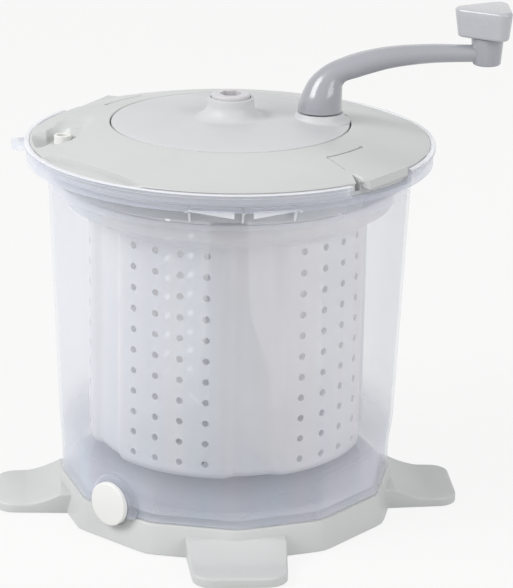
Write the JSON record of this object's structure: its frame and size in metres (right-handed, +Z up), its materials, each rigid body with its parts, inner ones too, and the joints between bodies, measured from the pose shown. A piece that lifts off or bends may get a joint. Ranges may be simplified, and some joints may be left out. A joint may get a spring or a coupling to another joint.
{
  "type": "manual washing machine",
  "caption": "Hand-cranked washing machine: frosted round tub on a footed base, perforated spin basket, geared lid with a plug-in crank and knob.",
  "frame": {"origin": "on the tub's axis at floor level, at the middle of the flat underside of the base's centre boss", "axes": "+Z up along the tub's axis, -Y towards the front foot, +X towards the crank's knob at rest"},
  "size_m": [0.382, 0.352, 0.382],
  "materials": {
    "base_plastic": "fine moulded grain, warm light grey",
    "tub_plastic": "frosted translucent, faintly blue",
    "basket_plastic": "milky white, satin",
    "lid_plastic": "light grey, semi-gloss",
    "cap_plastic": "off-white, satin",
    "bearing_plastic": "natural white acetal",
    "housing_plastic": "milky white, satin",
    "steel": "plain turned steel",
    "seal_rubber": "matt black"
  },
  "bodies": {
    "base": {"base_stand": "base_plastic", "rib_cross": "base_plastic", "foot_pad_front": "seal_rubber", "foot_pad_right": "seal_rubber", "foot_pad_back": "seal_rubber", "foot_pad_left": "seal_rubber", "base_screw_front_right": "steel", "base_screw_back_right": "steel", "base_screw_back_left": "steel", "base_screw_front_left": "steel", "tub": "tub_plastic", "tub_rim": "tub_plastic", "flange_ribs_front": "tub_plastic", "flange_ribs_back": "tub_plastic", "drain_collar": "tub_plastic", "spindle_plate": "tub_plastic", "spindle_pin": "steel", "thrust_washer": "bearing_plastic"},
    "drain_cap": {"drain_plug": "cap_plastic", "drain_seal": "seal_rubber"},
    "spin_basket": {"basket": "basket_plastic", "basket_rim": "basket_plastic", "basket_bush": "bearing_plastic", "agitator_column": "basket_plastic"},
    "lid": {"lid_cover": "lid_plastic", "gear_cover": "lid_plastic", "gear_housing": "housing_plastic", "inlet_tube": "cap_plastic", "shaft_bush_upper": "bearing_plastic", "shaft_bush_lower": "bearing_plastic", "crank_bush_upper": "bearing_plastic", "crank_bush_lower": "bearing_plastic", "housing_screw_front": "steel", "housing_screw_right": "steel", "housing_screw_back": "steel", "housing_screw_left": "steel"},
    "drive": {"drive_shaft": "lid_plastic", "drive_pinion": "bearing_plastic"},
    "crank_wheel": {"crank_gear": "bearing_plastic", "crank_hub": "lid_plastic"},
    "crank": {"crank_arm": "lid_plastic", "crank_hex": "steel", "knob_pin": "steel"},
    "grip": {"knob": "lid_plastic"}
  },
  "joints": [
    {"name": "drain_pull", "type": "slide", "parent": "base", "child": "drain_cap", "axis": [-0.7071, -0.7071, 0], "range_m": [0, 0.02]},
    {"name": "basket_spin", "type": "hinge", "parent": "base", "child": "spin_basket", "pos_m": [0, 0, 0.0478], "axis": [0, 0, 1], "continuous": true},
    {"name": "lid_lift", "type": "slide", "parent": "base", "child": "lid", "axis": [0, 0, 1], "range_m": [0, 0.1]},
    {"name": "crank_turn", "type": "hinge", "parent": "lid", "child": "crank_wheel", "pos_m": [0.066, 0, 0.27], "axis": [0, 0, 1], "continuous": true},
    {"name": "drive_spin", "type": "hinge", "parent": "lid", "child": "drive", "pos_m": [0, 0, 0.27], "axis": [0, 0, 1], "continuous": true},
    {"name": "crank_unplug", "type": "slide", "parent": "crank_wheel", "child": "crank", "axis": [0, 0, 1], "range_m": [0, 0.02]},
    {"name": "knob_spin", "type": "hinge", "parent": "crank", "child": "grip", "pos_m": [0.1887, 0, 0.3602], "axis": [0, 0, 1], "continuous": true}
  ],
  "couplings": [
    {"joint": "drive_spin", "follows": "crank_turn", "ratio": -2.8824},
    {"joint": "basket_spin", "follows": "crank_turn", "ratio": -2.8824}
  ]
}
